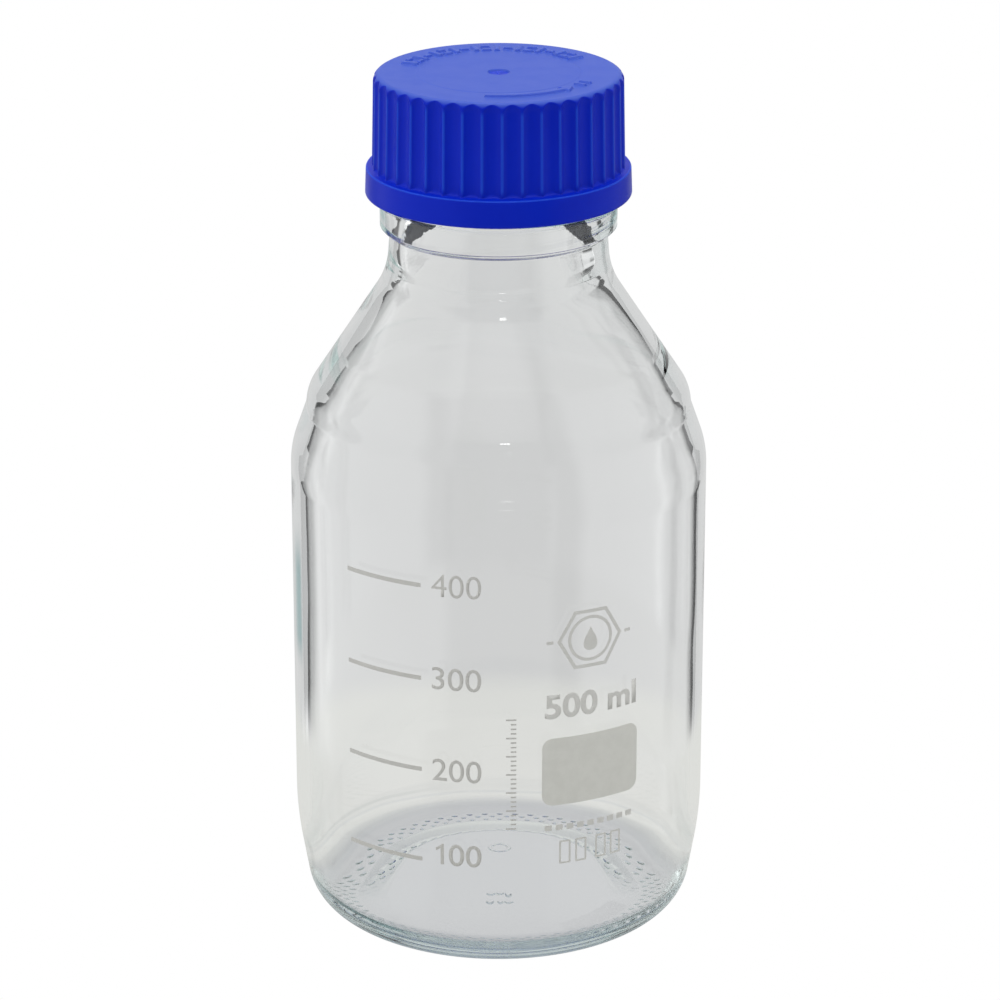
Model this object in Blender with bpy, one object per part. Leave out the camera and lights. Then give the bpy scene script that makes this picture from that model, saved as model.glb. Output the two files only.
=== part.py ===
"""Screw-cap laboratory reagent bottle, 500 ml, with a 45 mm screw neck.

Units are metres and +Z is up. The origin is the middle of the standing plane,
the bottle's axis is the Z axis and the front faces -Y. The pieces are the blown
glass bottle, the snap-on pouring ring on its mouth, the screw cap, and the fired
enamel marks on the front of the glass, four graduation lines and a writing panel.
"""

import math

import bmesh
import bpy
from mathutils import Vector

MM = 0.001

# ---------------------------------------------------------------- dimensions
# Overall
BODY_R = 43.0 * MM            # outside radius of the body
WALL = 3.1 * MM               # body wall
GLASS_HEIGHT = 176.0 * MM     # standing plane to the rim
CLOSED_HEIGHT = 181.0 * MM    # standing plane to the top of the closed cap
CLEAR = 0.35 * MM             # gap between pieces that touch on the real bottle

# Glass, outside, from the bottom up
PUSH_UP = 2.4 * MM            # height of the middle of the underside
STANDING_IN = 29.4 * MM       # inner radius of the flat ring the bottle stands on
HEEL_TAPER_R = 39.45 * MM     # radius at which the heel taper meets the standing plane
HEEL_CORNER = 9.0 * MM        # radius of the corner between them
HEEL_TOP = 20.9 * MM          # height at which the taper meets the body
BODY_TOP = 101.6 * MM         # height at which the body starts to close
CREASE_R, CREASE_Z = 39.66 * MM, 110.8 * MM
SHOULDER_R, SHOULDER_Z = 39.28 * MM, 114.0 * MM
NECK_FOOT_R, NECK_FOOT_Z = 22.87 * MM, 139.0 * MM
NECK_R, NECK_Z = 22.0 * MM, 146.5 * MM
BEAD_R = 24.3 * MM            # bead under the cap
BEAD_LOW, BEAD_HIGH = 150.1 * MM, 154.5 * MM

# Glass, finish
THREAD_ROOT_R = 20.35 * MM
THREAD_ROOT_TOP = 169.2 * MM
THREAD_CREST_R = 22.3 * MM
THREAD_ROOT_WIDTH, THREAD_CREST_WIDTH = 2.0 * MM, 1.0 * MM
THREAD_BURY = 0.7 * MM        # depth of the ridge's foot inside the wall
THREAD_PITCH = 4.0 * MM
THREAD_TURNS = 1.6
THREAD_START_Z = 159.0 * MM
RIM_GROOVE_R = 18.45 * MM
RIM_GROOVE_LOW, RIM_GROOVE_HIGH = 169.8 * MM, 172.4 * MM
RIM_BEAD_R = 19.0 * MM        # bead that holds the pouring ring
RIM_BEAD_LOW = 173.0 * MM
RIM_EDGE = 0.8 * MM           # rounding of both edges of the rim
MOUTH_R = 15.0 * MM

# Glass, inside
INNER_R = BODY_R - WALL
FLOOR_Z = 5.0 * MM
FLOOR_CROWN = 0.9 * MM        # rise of the floor in the middle
FLOOR_CORNER = 8.0 * MM
NECK_BORE_R = 18.2 * MM

# Enamel marks on the front, angles from the front towards +X, in degrees
MARK_VOLUMES_ML = (100, 200, 300, 400)
LINE_FROM, LINE_TO = -45.0, -21.2
LINE_WIDTH = 0.75 * MM
PANEL_FROM, PANEL_TO = 11.75, 40.9
PANEL_LOW, PANEL_HIGH = 38.6 * MM, 53.4 * MM
PANEL_CORNER = 2.3 * MM
PANEL_CORNER_BENDS = (22.5, 45.0, 67.5, 90.0)   # stations round a panel corner
ENAMEL_GAP = 0.05 * MM
ENAMEL_THICK = 0.15 * MM
CLOSEST_ANGLES = 0.12         # columns of a plate no further apart than this are merged

# Pouring ring
RING_SEAT_Z = GLASS_HEIGHT + CLEAR
RING_TOP_Z = 177.6 * MM
RING_LOW_Z = 170.3 * MM
RING_BORE_R = MOUTH_R + 0.1 * MM
RING_SOCKET_R = RIM_BEAD_R + CLEAR
RING_OUT_R = 20.5 * MM
RING_LIP_R = 18.8 * MM
RING_LIP_LOW, RING_LIP_HIGH = 171.0 * MM, 172.3 * MM

# Screw cap
CAP_LOW_Z = 155.8 * MM
CAP_FLANGE_Z = 161.4 * MM     # top of the plain band at the foot of the cap
CAP_FLANGE_R = 27.0 * MM
CAP_WALL_LOW_R = 25.58 * MM   # over the ridges, at the band
CAP_WALL_HIGH_R = 25.2 * MM   # over the ridges, at the top
CAP_EDGE = 1.5 * MM           # rounding of the top edge
CAP_BORE_R = 23.0 * MM
CAP_BORE_TOP_R = CAP_BORE_R - 1.0 * MM
CAP_PLATE = 2.1 * MM
CAP_UNDER_Z = CLOSED_HEIGHT - CAP_PLATE
CAP_FLUTES = 40
CAP_FLUTE_DEPTH = 0.65 * MM
CAP_THREAD_CREST_R = 20.9 * MM
CAP_THREAD_ROOT_WIDTH, CAP_THREAD_CREST_WIDTH = 1.5 * MM, 0.8 * MM
CAP_THREAD_BURY = 0.6 * MM
CAP_THREAD_BELOW = 1.6 * MM   # cap thread sits this far under the glass thread
CAP_THREAD_FROM, CAP_THREAD_TO = 0.10, 1.85   # in turns of the glass thread
GATE_R, GATE_DEPTH = 2.3 * MM, 0.4 * MM       # dimple in the middle of the top

# Both thread ridges
RIDGE_STEP_DEG = 6.0
RIDGE_FADE_TURNS = 24.0 / 360.0   # length over which an end fades out
RIDGE_END_SINK = 0.3 * MM         # depth of the crest inside the wall at the ends

GLASS_SEGMENTS = 60
RING_SEGMENTS = 48
CAP_PER_FLUTE = 3
SHARP_ANGLE = math.radians(32)
VOLUME_STEPS = 64             # slices per profile segment in the volume sum
LEVEL_HALVINGS = 60


# ------------------------------------------------------------ general helpers
def material(name, colour, roughness, transmission=0.0, ior=1.5):
    made = bpy.data.materials.new(name)
    made.use_nodes = True
    shader = made.node_tree.nodes["Principled BSDF"]
    shader.inputs["Base Color"].default_value = (*colour, 1.0)
    shader.inputs["Roughness"].default_value = roughness
    shader.inputs["Transmission Weight"].default_value = transmission
    shader.inputs["IOR"].default_value = ior
    made.diffuse_color = (*colour, 1.0)
    return made


def place(name, bm, origin_z):
    """Turns a bmesh into an object with its origin at origin_z on the bottle's axis."""
    bmesh.ops.recalc_face_normals(bm, faces=bm.faces)
    for vertex in bm.verts:
        vertex.co.z -= origin_z
    mesh = bpy.data.meshes.new(name)
    bm.to_mesh(mesh)
    bm.free()
    obj = bpy.data.objects.new(name, mesh)
    obj.location = (0.0, 0.0, origin_z)
    bpy.context.scene.collection.objects.link(obj)
    return obj


def add_piece(name, bm, made_of, origin_z=0.0):
    """A visible piece, smooth-shaded, with its material."""
    piece = place(name, bm, origin_z)
    piece.data.shade_smooth()
    piece.data.set_sharp_from_angle(angle=SHARP_ANGLE)
    piece.data.materials.append(made_of)
    return piece


def join_ridge(body, name, bm, origin_z=0.0):
    """Joins a thread ridge to its piece with a Boolean union."""
    ridge = place(name, bm, origin_z)
    ridge.hide_render = True
    ridge.display_type = "WIRE"
    union = body.modifiers.new("thread", "BOOLEAN")
    union.operation = "UNION"
    union.solver = "EXACT"
    union.object = ridge


def rounded(corners):
    """A turned profile. Each corner is (r, z), or (r, z, radius, steps) to round it off.

    The first and last corners are always plain.
    """
    path = []
    for i, corner in enumerate(corners):
        if len(corner) == 2:
            path.append(tuple(Vector(corner)))
            continue
        here = Vector(corner[:2])
        radius, steps = corner[2:]
        back = (Vector(corners[i - 1][:2]) - here).normalized()
        ahead = (Vector(corners[i + 1][:2]) - here).normalized()
        half = math.acos(back.dot(ahead)) / 2
        centre = here + (back + ahead).normalized() * radius / math.sin(half)
        first = here + back * radius / math.tan(half) - centre
        last = here + ahead * radius / math.tan(half) - centre
        start = math.atan2(first.y, first.x)
        sweep = math.atan2(last.y, last.x) - start
        sweep = (sweep + math.pi) % (2 * math.pi) - math.pi
        for k in range(steps + 1):
            angle = start + sweep * k / steps
            path.append((centre.x + radius * math.cos(angle), centre.y + radius * math.sin(angle)))
    return path


def new_vertex(bm, r, angle, z):
    return bm.verts.new((r * math.cos(angle), r * math.sin(angle), z))


def bridge(bm, one, two):
    """Faces between two loops of vertices. Either loop may be a single vertex."""
    count = max(len(one), len(two))
    for k in range(count):
        n = (k + 1) % count
        if len(one) == 1:
            bm.faces.new((one[0], two[k], two[n]))
        elif len(two) == 1:
            bm.faces.new((one[k], one[n], two[0]))
        else:
            bm.faces.new((one[k], one[n], two[n], two[k]))


def turned(path, segments, closed=False, relief=None):
    """Turns a profile about the Z axis. A point at r = 0 becomes a single vertex.

    relief(row, column) is taken off the radius there, for flutes.
    """
    bm = bmesh.new()
    rings = []
    for row, (r, z) in enumerate(path):
        if r < 1e-7:
            rings.append([bm.verts.new((0.0, 0.0, z))])
            continue
        ring = []
        for column in range(segments):
            depth = relief(row, column) if relief else 0.0
            ring.append(new_vertex(bm, r - depth, 2 * math.pi * column / segments, z))
        rings.append(ring)
    for one, two in zip(rings, rings[1:]):
        bridge(bm, one, two)
    if closed:
        bridge(bm, rings[-1], rings[0])
    return bm


def swept(sections):
    """A capped bar. Each section is (angle, [(r, z), ...]) in a plane through the axis."""
    bm = bmesh.new()
    loops = [[new_vertex(bm, r, angle, z) for r, z in points] for angle, points in sections]
    for one, two in zip(loops, loops[1:]):
        bridge(bm, one, two)
    bm.faces.new(loops[0])
    bm.faces.new(loops[-1])
    return bm


def helix_ridge(root_r, crest_r, root_width, crest_width, first, last, start_z, bury):
    """A thread ridge from turn `first` to turn `last` that fades into its wall at both ends.

    start_z is its height at turn 0. Its sloping sides run on into the wall by `bury`.
    """
    count = round((last - first) * 360 / RIDGE_STEP_DEG)
    outward = 1.0 if crest_r > root_r else -1.0
    buried = root_r - outward * bury
    foot = root_width / 2 + (root_width - crest_width) / 2 * bury / abs(crest_r - root_r)
    sunk = root_r - outward * RIDGE_END_SINK
    sections = []
    for i in range(count + 1):
        turn = first + (last - first) * i / count
        rise = min(1.0, (turn - first) / RIDGE_FADE_TURNS, (last - turn) / RIDGE_FADE_TURNS)
        rise = rise * rise * (3 - 2 * rise)
        crest = sunk + (crest_r - sunk) * rise
        z = start_z + THREAD_PITCH * turn
        points = [
            (buried, z - foot),
            (crest, z - crest_width / 2),
            (crest, z + crest_width / 2),
            (buried, z + foot),
        ]
        sections.append((2 * math.pi * turn, points))
    return swept(sections)


# --------------------------------------------------------------- glass bottle
def glass_profiles():
    """The outside from the underside up to the rim, and the inside from the rim down."""
    outer_corners = [
        (0.0, PUSH_UP),
        (STANDING_IN - 1.6 * MM, PUSH_UP - 0.9 * MM),
        (STANDING_IN, 0.0),
        (HEEL_TAPER_R, 0.0, HEEL_CORNER, 5),
        (BODY_R, HEEL_TOP, 70.0 * MM, 1),
        (BODY_R, BODY_TOP, 19.0 * MM, 2),
        (CREASE_R, CREASE_Z),
        (SHOULDER_R, SHOULDER_Z, 8.0 * MM, 2),
        (NECK_FOOT_R, NECK_FOOT_Z, 17.0 * MM, 2),
        (NECK_R, NECK_Z, 0.8 * MM, 1),
        (BEAD_R, BEAD_LOW, 1.4 * MM, 2),
        (BEAD_R, BEAD_HIGH, 1.2 * MM, 1),
        (THREAD_ROOT_R, BEAD_HIGH + 0.4 * MM),
        (THREAD_ROOT_R, THREAD_ROOT_TOP),
        (RIM_GROOVE_R, RIM_GROOVE_LOW),
        (RIM_GROOVE_R, RIM_GROOVE_HIGH),
        (RIM_BEAD_R, RIM_BEAD_LOW),
        (RIM_BEAD_R, GLASS_HEIGHT, RIM_EDGE, 1),
    ]
    inner_corners = [
        (MOUTH_R, GLASS_HEIGHT, RIM_EDGE, 1),
        (MOUTH_R + 0.5 * MM, 168.0 * MM),
        (NECK_BORE_R, 156.0 * MM, 8.0 * MM, 1),
        (NECK_BORE_R + 0.2 * MM, 141.5 * MM, 14.0 * MM, 2),
        (INNER_R - 3.0 * MM, 113.2 * MM, 12.0 * MM, 2),   # shoulder
        (INNER_R, 101.0 * MM, 22.0 * MM, 2),
        (INNER_R, FLOOR_Z, FLOOR_CORNER, 4),
        (0.0, FLOOR_Z + FLOOR_CROWN),
    ]
    # Each side borrows the other's rim corner, so that its own can be rounded.
    outer = rounded(outer_corners + [inner_corners[0][:2]])[:-1]
    inner = rounded([outer_corners[-1][:2]] + inner_corners)[1:]
    return outer, inner


def build_glass(outer, inner, made_of):
    glass = add_piece("glass_bottle", turned(outer + inner, GLASS_SEGMENTS), made_of)
    ridge = helix_ridge(
        root_r=THREAD_ROOT_R,
        crest_r=THREAD_CREST_R,
        root_width=THREAD_ROOT_WIDTH,
        crest_width=THREAD_CREST_WIDTH,
        first=0.0,
        last=THREAD_TURNS,
        start_z=THREAD_START_Z,
        bury=THREAD_BURY,
    )
    join_ridge(glass, "glass_thread_ridge", ridge)


# --------------------------------------------------------------- enamel marks
def facet_radius(radius, angle, segments):
    """Distance from the axis to a flat-sided turned wall, in the direction of angle."""
    half = math.pi / segments
    return radius * math.cos(half) / math.cos((angle % (2 * half)) - half)


def enamel_plate(angles_deg, low, high, inset_at=lambda degrees: 0.0):
    """A thin plate that follows the body's flat sides.

    inset_at(degrees) takes in its top and bottom edges at that angle.
    """
    sections = []
    for degrees in angles_deg:
        angle = math.radians(degrees - 90.0)
        inner = facet_radius(BODY_R, angle, GLASS_SEGMENTS) + ENAMEL_GAP
        outer = inner + ENAMEL_THICK
        bottom, top = low + inset_at(degrees), high - inset_at(degrees)
        points = [(inner, bottom), (outer, bottom), (outer, top), (inner, top)]
        sections.append((angle, points))
    return swept(sections)


def angles_between(first, last, extra=()):
    """The two ends, the body's edges between them, and any extra angles, in order."""
    step = 360.0 / GLASS_SEGMENTS
    edges = [k * step for k in range(math.ceil(first / step), math.ceil(last / step))]
    ordered = sorted({first, last, *edges, *extra})
    kept = [ordered[0]]
    for angle in ordered[1:]:
        if angle - kept[-1] > CLOSEST_ANGLES:
            kept.append(angle)
    kept[-1] = last
    return kept


def filled_volume(inner, level):
    """Volume inside the bottle up to a level on the straight part of the wall.

    It sums the columns of liquid over the floor and its corner.
    """
    total = 0.0
    for (r1, z1), (r0, z0) in zip(inner, inner[1:]):
        if r1 <= r0 or z0 >= level:
            continue
        if z1 > level:
            share = (level - z0) / (z1 - z0)
            r1, z1 = r0 + (r1 - r0) * share, level
        for k in range(VOLUME_STEPS):
            along = (k + 0.5) / VOLUME_STEPS
            r = r0 + (r1 - r0) * along
            z = z0 + (z1 - z0) * along
            total += 2 * math.pi * r * (level - z) * (r1 - r0) / VOLUME_STEPS
    return total


def level_of(inner, volume_ml):
    """Height of the liquid's surface at a volume, by bisection."""
    low, high = FLOOR_Z, BODY_TOP
    for _ in range(LEVEL_HALVINGS):
        middle = (low + high) / 2
        if filled_volume(inner, middle) < volume_ml * 1e-6:
            low = middle
        else:
            high = middle
    return (low + high) / 2


def build_scale_lines(inner, made_of):
    angles = angles_between(LINE_FROM, LINE_TO)
    for volume_ml in MARK_VOLUMES_ML:
        level = level_of(inner, volume_ml)
        plate = enamel_plate(angles, level - LINE_WIDTH / 2, level + LINE_WIDTH / 2)
        add_piece(f"scale_line_{volume_ml}", plate, made_of)


def panel_inset(degrees):
    """How far the corner rounding takes the panel's top and bottom edges in, at an angle."""
    along = math.radians(min(degrees - PANEL_FROM, PANEL_TO - degrees)) * BODY_R
    if along >= PANEL_CORNER:
        return 0.0
    return PANEL_CORNER - math.sqrt(PANEL_CORNER**2 - (PANEL_CORNER - along) ** 2)


def build_panel(made_of):
    corner = [
        math.degrees((1 - math.cos(math.radians(bend))) * PANEL_CORNER / BODY_R)
        for bend in PANEL_CORNER_BENDS
    ]
    extra = [PANEL_FROM + a for a in corner] + [PANEL_TO - a for a in corner]
    angles = angles_between(PANEL_FROM, PANEL_TO, extra)
    plate = enamel_plate(angles, PANEL_LOW, PANEL_HIGH, panel_inset)
    add_piece("writing_panel", plate, made_of)


# --------------------------------------------------------------- pouring ring
def build_ring(made_of):
    path = rounded([
        (RING_BORE_R, RING_SEAT_Z),
        (RING_SOCKET_R, RING_SEAT_Z),
        (RING_SOCKET_R, 172.75 * MM),
        (RING_LIP_R, RING_LIP_HIGH),
        (RING_LIP_R, RING_LIP_LOW),
        (RING_LIP_R + 0.4 * MM, RING_LOW_Z),
        (RING_OUT_R, RING_LOW_Z, 0.3 * MM, 1),
        (RING_OUT_R, RING_TOP_Z - 0.3 * MM, 0.4 * MM, 2),
        (RIM_BEAD_R, RING_TOP_Z),
        (MOUTH_R + 0.8 * MM, RING_TOP_Z),
        (RING_BORE_R, RING_TOP_Z - 0.4 * MM),
    ])
    ring = turned(path, RING_SEGMENTS, closed=True)
    add_piece("pouring_ring", ring, made_of, origin_z=GLASS_HEIGHT)


# ------------------------------------------------------------------ screw cap
def cap_profile():
    """Rows of (r, z, share of the flute's depth), from the top round to the underside."""
    rows = [
        (0.0, CLOSED_HEIGHT - GATE_DEPTH, 0.0),
        (GATE_R - 0.3 * MM, CLOSED_HEIGHT - GATE_DEPTH, 0.0),
        (GATE_R, CLOSED_HEIGHT, 0.0),
    ]
    # Top edge, by degrees of bend
    for bend, share in ((0.0, 0.0), (30.0, 0.0), (60.0, 0.15), (90.0, 0.62)):
        turn = math.radians(bend)
        r = CAP_WALL_HIGH_R - CAP_EDGE + CAP_EDGE * math.sin(turn)
        rows.append((r, CLOSED_HEIGHT - CAP_EDGE * (1 - math.cos(turn)), share))
    return rows + [
        # Fluted wall
        (CAP_WALL_HIGH_R + 0.04 * MM, CLOSED_HEIGHT - 3.2 * MM, 1.0),
        (CAP_WALL_LOW_R, CAP_FLANGE_Z + 1.2 * MM, 1.0),
        (CAP_WALL_LOW_R + 0.1 * MM, CAP_FLANGE_Z + 0.4 * MM, 0.45),
        # Plain band
        (CAP_WALL_LOW_R + 0.55 * MM, CAP_FLANGE_Z, 0.0),
        (CAP_FLANGE_R - 0.45 * MM, CAP_FLANGE_Z, 0.0),
        (CAP_FLANGE_R - 0.2 * MM, CAP_FLANGE_Z - 0.25 * MM, 0.0),
        (CAP_FLANGE_R, CAP_LOW_Z + 0.35 * MM, 0.0),
        (CAP_FLANGE_R - 0.3 * MM, CAP_LOW_Z, 0.0),
        # Bore, narrower at the top
        (CAP_BORE_R + 0.45 * MM, CAP_LOW_Z, 0.0),
        (CAP_BORE_R, CAP_LOW_Z + 0.45 * MM, 0.0),
        (CAP_BORE_R, 172.5 * MM, 0.0),
        (CAP_BORE_TOP_R, 174.0 * MM, 0.0),
        (CAP_BORE_TOP_R, CAP_UNDER_Z, 0.0),
        # Round rib under the plate, just clear of the pouring ring
        (18.2 * MM, CAP_UNDER_Z, 0.0),
        (17.9 * MM, RING_TOP_Z + CLEAR, 0.0),
        (16.6 * MM, RING_TOP_Z + CLEAR, 0.0),
        (16.3 * MM, CAP_UNDER_Z, 0.0),
        (0.0, CAP_UNDER_Z, 0.0),
    ]


def build_cap(made_of):
    rows = cap_profile()

    def flute_relief(row, column):
        on_ridge = column % CAP_PER_FLUTE == 0
        return 0.0 if on_ridge else rows[row][2] * CAP_FLUTE_DEPTH

    path = [(r, z) for r, z, _ in rows]
    shell = turned(path, CAP_FLUTES * CAP_PER_FLUTE, relief=flute_relief)
    cap = add_piece("screw_cap", shell, made_of, origin_z=CAP_LOW_Z)
    ridge = helix_ridge(
        root_r=CAP_BORE_R,
        crest_r=CAP_THREAD_CREST_R,
        root_width=CAP_THREAD_ROOT_WIDTH,
        crest_width=CAP_THREAD_CREST_WIDTH,
        first=CAP_THREAD_FROM,
        last=CAP_THREAD_TO,
        start_z=THREAD_START_Z - CAP_THREAD_BELOW,
        bury=CAP_THREAD_BURY,
    )
    join_ridge(cap, "cap_thread_ridge", ridge, origin_z=CAP_LOW_Z)


# ---------------------------------------------------------------------- build
for old in list(bpy.data.objects):
    bpy.data.objects.remove(old, do_unlink=True)

glass_look = material(
    "borosilicate_glass",
    colour=(0.86, 0.93, 0.92),
    roughness=0.02,
    transmission=1.0,
    ior=1.474,
)
enamel_look = material("grey_enamel", colour=(0.48, 0.48, 0.44), roughness=0.45)
cap_look = material("blue_polypropylene", colour=(0.012, 0.045, 0.42), roughness=0.38)
ring_look = material("blue_ring_polypropylene", colour=(0.02, 0.07, 0.46), roughness=0.42)

outer_path, inner_path = glass_profiles()
build_glass(outer_path, inner_path, glass_look)
build_scale_lines(inner_path, enamel_look)
build_panel(enamel_look)
build_ring(ring_look)
build_cap(cap_look)
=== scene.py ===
"""Looks of the laboratory reagent bottle: fine glass, cap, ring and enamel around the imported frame.

Lengths inside the shape functions are in millimetres and go to metres in make_mesh.
"""
import math

import bmesh
import bpy
import numpy as np
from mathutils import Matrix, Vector, noise


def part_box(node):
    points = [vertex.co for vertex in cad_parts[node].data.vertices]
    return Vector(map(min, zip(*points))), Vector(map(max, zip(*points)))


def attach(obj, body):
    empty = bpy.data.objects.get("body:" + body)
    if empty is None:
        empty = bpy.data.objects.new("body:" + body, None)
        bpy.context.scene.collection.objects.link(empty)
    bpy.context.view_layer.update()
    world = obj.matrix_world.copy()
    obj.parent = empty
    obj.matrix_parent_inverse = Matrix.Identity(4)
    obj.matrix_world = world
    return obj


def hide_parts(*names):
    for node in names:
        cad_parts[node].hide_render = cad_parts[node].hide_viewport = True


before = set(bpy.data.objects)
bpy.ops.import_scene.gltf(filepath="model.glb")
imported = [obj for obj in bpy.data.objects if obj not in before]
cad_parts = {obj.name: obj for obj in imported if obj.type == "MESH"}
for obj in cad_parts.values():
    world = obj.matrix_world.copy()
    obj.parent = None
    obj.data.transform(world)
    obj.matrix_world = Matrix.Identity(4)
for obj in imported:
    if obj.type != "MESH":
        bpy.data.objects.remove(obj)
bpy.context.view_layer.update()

MM = 0.001
TAU = 2 * math.pi

# ------------------------------------------------------------------ key sizes
glass_lo, glass_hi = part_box("glass_bottle")
cap_lo, cap_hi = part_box("screw_cap")
ring_lo, ring_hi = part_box("pouring_ring")
BODY_R = glass_hi.x / MM - 0.06      # room for the enamel film inside the same box
GLASS_TOP = glass_hi.z / MM
CAP_LOW, CAP_TOP = cap_lo.z / MM, cap_hi.z / MM
FLANGE_R = cap_hi.x / MM
RING_LOW, RING_TOP = ring_lo.z / MM, ring_hi.z / MM
PITCH = 4.0
THREAD_Z0 = 159.0
STAND = 0.27          # the bumps under the foot stand this proud of it


# -------------------------------------------------------------- shape helpers
def rounded(corners):
    """(r, z) polyline; a corner (r, z, radius, steps) becomes an arc."""
    path = []
    count = len(corners)
    for i, corner in enumerate(corners):
        here = Vector(corner[:2])
        if len(corner) == 2:
            path.append((here.x, here.y))
            continue
        radius, steps = corner[2:]
        back = (Vector(corners[i - 1][:2]) - here).normalized()
        ahead = (Vector(corners[(i + 1) % count][:2]) - here).normalized()
        half = math.acos(max(-1.0, min(1.0, back.dot(ahead)))) / 2
        centre = here + (back + ahead).normalized() * radius / math.sin(half)
        first = here + back * radius / math.tan(half) - centre
        last = here + ahead * radius / math.tan(half) - centre
        start = math.atan2(first.y, first.x)
        sweep = math.atan2(last.y, last.x) - start
        sweep = (sweep + math.pi) % TAU - math.pi
        for k in range(steps + 1):
            angle = start + sweep * k / steps
            path.append((centre.x + radius * math.cos(angle), centre.y + radius * math.sin(angle)))
    return path


def resample(path, step_at):
    """Adds points so that no step is longer than step_at(r, z)."""
    out = [path[0]]
    for (r0, z0), (r1, z1) in zip(path, path[1:]):
        gap = math.hypot(r1 - r0, z1 - z0)
        if gap < 1e-6:
            continue
        n = max(1, math.ceil(gap / step_at((r0 + r1) / 2, (z0 + z1) / 2)))
        for k in range(1, n + 1):
            out.append((r0 + (r1 - r0) * k / n, z0 + (z1 - z0) * k / n))
    return np.array(out)


def normals_of(path, closed=False):
    """Outward normals of a profile whose solid lies on its left side looking along it."""
    if closed:
        ahead = np.roll(path, -1, axis=0) - path
        back = path - np.roll(path, 1, axis=0)
    else:
        ahead = np.vstack([path[1:] - path[:-1], path[-1:] - path[-2:-1]])
        back = np.vstack([path[1:2] - path[0:1], path[1:] - path[:-1]])
    unit = lambda v: v / np.maximum(np.linalg.norm(v, axis=1, keepdims=True), 1e-9)
    t = unit(unit(ahead) + unit(back))
    return np.stack([t[:, 1], -t[:, 0]], axis=1)


def smooth(x):
    x = np.clip(x, 0.0, 1.0)
    return x * x * (3 - 2 * x)


def make_mesh(name, rings, closed=False):
    """rings: arrays of (n, 3) points in mm, or (1, 3) for a pole. n may grow or shrink by a whole factor."""
    points, faces, starts = [], [], []
    for ring in rings:
        starts.append(len(points))
        points.extend(ring.tolist())
    pairs = list(zip(range(len(rings)), range(1, len(rings))))
    if closed:
        pairs.append((len(rings) - 1, 0))
    for a, b in pairs:
        na, nb, sa, sb = len(rings[a]), len(rings[b]), starts[a], starts[b]
        if na == 1:
            faces += [(sa, sb + k, sb + (k + 1) % nb) for k in range(nb)][::1]
            # pole first: keep the same turning sense as the quads
            faces[-nb:] = [(sa, sb + (k + 1) % nb, sb + k) for k in range(nb)]
        elif nb == 1:
            faces += [(sa + k, sa + (k + 1) % na, sb) for k in range(na)]
        elif na == nb:
            faces += [
                (sa + k, sa + (k + 1) % na, sb + (k + 1) % nb, sb + k) for k in range(na)
            ]
        elif nb > na:
            m = nb // na
            for k in range(na):
                far = [sb + (m * (k + 1) - j) % nb for j in range(m + 1)]
                faces.append((sa + k, sa + (k + 1) % na, *far))
        else:
            m = na // nb
            for k in range(nb):
                near = [sa + (m * k + j) % na for j in range(m + 1)]
                faces.append((*near, sb + (k + 1) % nb, sb + k))
    mesh = bpy.data.meshes.new(name)
    mesh.from_pydata([(x * MM, y * MM, z * MM) for x, y, z in points], [], faces)
    mesh.validate()
    mesh.shade_smooth()
    return mesh


def ring_points(radius, z, n, displace=None, normal=(1.0, 0.0), row=0):
    angle = TAU * np.arange(n) / n
    r = np.full(n, float(radius))
    h = np.full(n, float(z))
    if displace is not None:
        d_normal, d_radial = displace(angle, radius, z)
        r = r + normal[0] * d_normal + d_radial
        h = h + normal[1] * d_normal
    return np.stack([r * np.cos(angle), r * np.sin(angle), h], axis=1)


def add(name, mesh, body, material, slot, *nodes):
    obj = bpy.data.objects.new(name, mesh)
    bpy.context.scene.collection.objects.link(obj)
    obj.data.materials.append(material)
    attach(obj, body)
    if nodes:
        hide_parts(*nodes)
    return obj


# ----------------------------------------------------------- material helpers
class Nodes:
    """Short calls for building a node tree."""

    def __init__(self, tree):
        self.tree = tree
        tree.nodes.clear()

    def new(self, kind, **settings):
        node = self.tree.nodes.new(kind)
        for key, value in settings.items():
            setattr(node, key, value)
        return node

    def put(self, socket, value):
        if isinstance(value, bpy.types.NodeSocket):
            self.tree.links.new(value, socket)
        else:
            socket.default_value = value

    def math(self, operation, a, b=0.0, c=0.0, clamp=False):
        node = self.new("ShaderNodeMath", operation=operation, use_clamp=clamp)
        for socket, value in zip(node.inputs, (a, b, c)):
            self.put(socket, value)
        return node.outputs[0]

    def step(self, value, low, high, to_low=0.0, to_high=1.0):
        node = self.new("ShaderNodeMapRange", interpolation_type="SMOOTHSTEP")
        for socket, v in zip(node.inputs, (value, low, high, to_low, to_high)):
            self.put(socket, v)
        return node.outputs[0]

    def mix(self, factor, a, b, blend="MIX"):
        node = self.new("ShaderNodeMix", data_type="RGBA", blend_type=blend)
        self.put(node.inputs[0], factor)
        self.put(node.inputs[6], a)
        self.put(node.inputs[7], b)
        return node.outputs[2]

    def noise(self, vector, scale, detail=3.0, roughness=0.5):
        node = self.new("ShaderNodeTexNoise")
        self.put(node.inputs["Vector"], vector)
        node.inputs["Scale"].default_value = scale
        node.inputs["Detail"].default_value = detail
        node.inputs["Roughness"].default_value = roughness
        return node.outputs["Fac"]

    def bump(self, height, strength, distance):
        node = self.new("ShaderNodeBump")
        node.inputs["Strength"].default_value = strength
        node.inputs["Distance"].default_value = distance
        self.put(node.inputs["Height"], height)
        return node.outputs["Normal"]


def new_material(name):
    made = bpy.data.materials.new(name)
    made.use_nodes = True
    n = Nodes(made.node_tree)
    out = n.new("ShaderNodeOutputMaterial")
    where = n.new("ShaderNodeTexCoord").outputs["Object"]
    return made, n, out, where


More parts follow.
